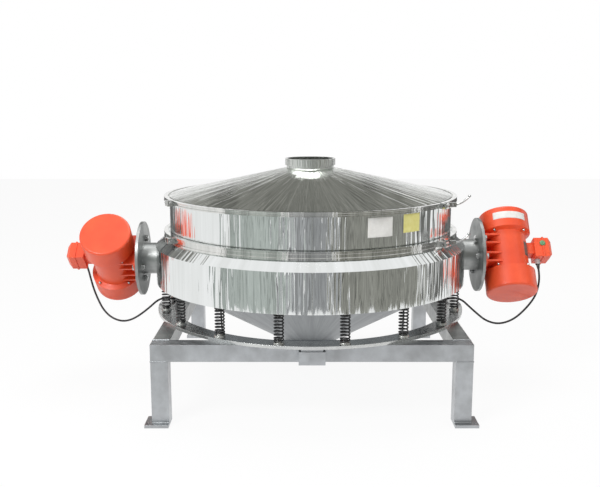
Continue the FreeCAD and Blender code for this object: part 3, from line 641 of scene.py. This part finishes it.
# ---- weld beads ----
def bead(path, radius):
    """A weld bead: a low round ridge whose ripples follow one another along it."""
    vertices, faces = tube(path, radius, bead_sides)
    for index, vertex in enumerate(vertices):
        centre = path[index // bead_sides]
        ripple = 1 + bead_ripple * noise.noise(centre * bead_ripple_rate)
        vertices[index] = centre + (vertex - centre) * ripple
    return vertices, faces


def line_points(start, end, step=0.003):
    steps = max(2, int((end - start).length / step))
    return [start.lerp(end, i / steps) for i in range(steps + 1)]


def circle_points(centre, radius, across, upward, steps=120):
    turns = [2 * math.pi * i / steps for i in range(steps + 1)]
    return [centre + (across * math.cos(t) + upward * math.sin(t)) * radius for t in turns]


def weld(name, paths, radius, body, material):
    """Weld beads along several paths, as one piece."""
    beads = mesh_object(name, *joined([bead(p, radius) for p in paths]), material)
    tidy_normals(beads)
    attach(beads, body)


def corner_welds(sx, sy, beam_low, beam_high, inner, foot_top):
    """Beads at one corner: under the beams, up their joint, across their top and round the leg's foot."""
    outer = beam_high.x

    def at(x, y, z):
        return Vector((sx * x, sy * y, z))

    bottom, top = beam_low.z, beam_high.z
    side = at(outer, inner, bottom)
    return [line_points(at(inner, outer, bottom), at(outer, outer, bottom)),
            line_points(at(outer, outer, bottom), side),
            line_points(side, side + UP * (top - bottom)),
            line_points(at(inner, inner, top), at(outer, inner, top)),
            line_points(at(inner, outer, foot_top), at(outer, outer, foot_top)),
            line_points(at(outer, inner, foot_top), at(outer, outer, foot_top))]


def stand_welds():
    """Beads at the stand's four corners."""
    low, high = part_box("front_beam")
    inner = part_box("front_right_leg")[0].x
    foot_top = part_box("foot_plates")[0].z + foot_plate_thickness
    paths = []
    for sx in (-1, 1):
        for sy in (-1, 1):
            paths += corner_welds(sx, sy, low, high, inner, foot_top)
    weld("stand_welds", paths, 0.0022, "frame", stand_steel)


def front_seam(radius, bottom, top):
    return line_points(Vector((0, -radius, bottom)), Vector((0, -radius, top)))


def sieve_welds():
    """Upright seams of the two shells, and a ring where each motor arm meets its disc."""
    low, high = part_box("lower_shell")
    deck_low, deck_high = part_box("upper_shell")
    weld("shell_seams", [front_seam(high.x, low.z + 0.002, low.z + 0.154),
                         front_seam(deck_radius, deck_low.z + 0.012, deck_high.z - 0.012)],
         0.0009, "sieve", band_steel)
    rings = []
    for name in ("left", "right"):
        centre = motor_frame(name).translation
        centre.x, centre.y = math.copysign(arm_reach - 0.012, centre.x), 0
        rings.append(circle_points(centre, arm_radius, Vector((0, 1, 0)), UP))
    weld("arm_welds", rings, 0.0028, "sieve", zinc)


stand_welds()
sieve_welds()


# ---- floor, surroundings and lamps ----
floor_reach = 9
floor_level = -0.001
floor_glow_share = 0.93
world_light = 0.36
near_card, far_card = 2.3, 4.6


def seen_directly(tree):
    """1 for rays from the camera, in mirrors and through glass, else 0."""
    path = tree.nodes.new("ShaderNodeLightPath")
    found = path.outputs["Is Camera Ray"]
    for name in ("Is Glossy Ray", "Is Transmission Ray"):
        either = node(tree, "Math", operation="MAXIMUM")
        tree.links.new(found, either.inputs[0])
        tree.links.new(path.outputs[name], either.inputs[1])
        found = either.outputs[0]
    return found


def floor_material():
    """Pale floor: white where it is seen, and a plain diffuse share that keeps shadows."""
    material, tree, bsdf = shader("floor", (0.86, 0.86, 0.86), roughness=0.9)
    tinted(tree, bsdf, mottled(tree, place(tree), 3.0), (0.855, 0.855, 0.86), (0.87, 0.87, 0.865))
    pale = node(tree, "Emission", Color=(1, 1, 1, 1), Strength=1.0)
    share = node(tree, "Math", operation="MULTIPLY")
    share.inputs[1].default_value = floor_glow_share
    tree.links.new(seen_directly(tree), share.inputs[0])
    pick = tree.nodes.new("ShaderNodeMixShader")
    tree.links.new(share.outputs[0], pick.inputs[0])
    tree.links.new(bsdf.outputs[0], pick.inputs[1])
    tree.links.new(pale.outputs[0], pick.inputs[2])
    tree.links.new(pick.outputs[0], tree.nodes["Material Output"].inputs["Surface"])
    return material


floor_signs = ((-1, -1), (1, -1), (1, 1), (-1, 1))
floor_corners = [(x * floor_reach, y * floor_reach, floor_level) for x, y in floor_signs]
floor = mesh_object("floor", floor_corners, [(0, 1, 2, 3)], floor_material())


def set_world():
    """White where it is seen, and an even dimmer light on the object."""
    world = bpy.data.worlds.new("studio")
    bpy.context.scene.world = world
    world.use_nodes = True
    tree = world.node_tree
    tree.nodes.clear()
    out = tree.nodes.new("ShaderNodeOutputWorld")
    seen = node(tree, "Background", Color=(1, 1, 1, 1), Strength=1.0)
    lit = node(tree, "Background", Color=(1, 1, 1, 1), Strength=world_light)
    pick = tree.nodes.new("ShaderNodeMixShader")
    make = tree.links.new
    make(seen_directly(tree), pick.inputs[0])
    make(lit.outputs[0], pick.inputs[1])
    make(seen.outputs[0], pick.inputs[2])
    make(pick.outputs[0], out.inputs[0])


def card_material(name, shade, tint):
    """A dim studio card, uneven from side to side as a hung cloth is."""
    material = bpy.data.materials.new(name)
    material.use_nodes = True
    tree = material.node_tree
    tree.nodes.clear()
    out = tree.nodes.new("ShaderNodeOutputMaterial")
    glow = node(tree, "Emission", Strength=1.0)
    dark = [shade * t * 0.4 for t in tint]
    light = [min(shade * t * 1.7, 1.0) for t in tint]
    folds = mottled(tree, turned_place(tree, around=16.0, along=0.25), 1.0, detail=5.0)
    tree.links.new(mixed(tree, folds, dark, light), glow.inputs["Color"])
    tree.links.new(glow.outputs[0], out.inputs["Surface"])
    return material


def hang_card(name, start, end, low, high, shade, tint, distance):
    """A curved card between two bearings from the front, seen in reflections only."""
    steps = max(2, int((end - start) / 6))
    vertices, faces = [], []
    for index in range(steps + 1):
        angle = math.radians(start + (end - start) * index / steps)
        for height in (low, high):
            vertices.append((math.sin(angle) * distance, -math.cos(angle) * distance, height))
    for index in range(steps):
        faces.append((2 * index, 2 * index + 2, 2 * index + 3, 2 * index + 1))
    card = mesh_object(name, vertices, faces, card_material(name, shade, tint))
    card.visible_camera = card.visible_diffuse = card.visible_shadow = False


# name, bearings in degrees, lowest and highest edge, shade, tint, distance
cards = [
    ("card_middle", -15, 13, 0.0, 1.7, 0.34, (0.98, 1.0, 1.02), near_card),
    ("card_right", 15, 74, 0.0, 1.9, 0.26, (1.0, 1.0, 0.90), near_card),
    ("card_left", -58, -17, 0.0, 1.8, 0.40, (0.94, 1.02, 0.97), near_card),
    ("card_far_right", 80, 98, 0.0, 1.9, 0.16, (1.0, 1.0, 0.96), near_card),
    ("card_side_right", 118, 150, 0.0, 1.9, 0.12, (1, 1, 1), near_card),
    ("card_side_left", -150, -124, 0.0, 1.9, 0.12, (1, 1, 1), near_card),
    ("card_behind", 120, 240, 1.9, 5.2, 0.24, (1.0, 1.0, 0.93), far_card),
]
for card in cards:
    hang_card(*card)


def lamp(name, location, aim, size, power):
    """A round soft lamp aimed at a point."""
    data = bpy.data.lights.new(name, "AREA")
    data.shape = "DISK"
    data.size = size
    data.energy = power
    made = link(name, data)
    made.location = location
    made.rotation_euler = (Vector(aim) - Vector(location)).to_track_quat("-Z", "Y").to_euler()


set_world()
lamp("key", (-2.6, -3.4, 3.6), (0, 0, 0.5), 2.0, 150)
lamp("fill", (3.4, -2.6, 2.4), (0, 0, 0.5), 2.2, 45)
lamp("top", (0.0, 0.6, 4.2), (0, 0, 0.4), 2.6, 80)

bpy.context.scene.view_settings.view_transform = "Standard"
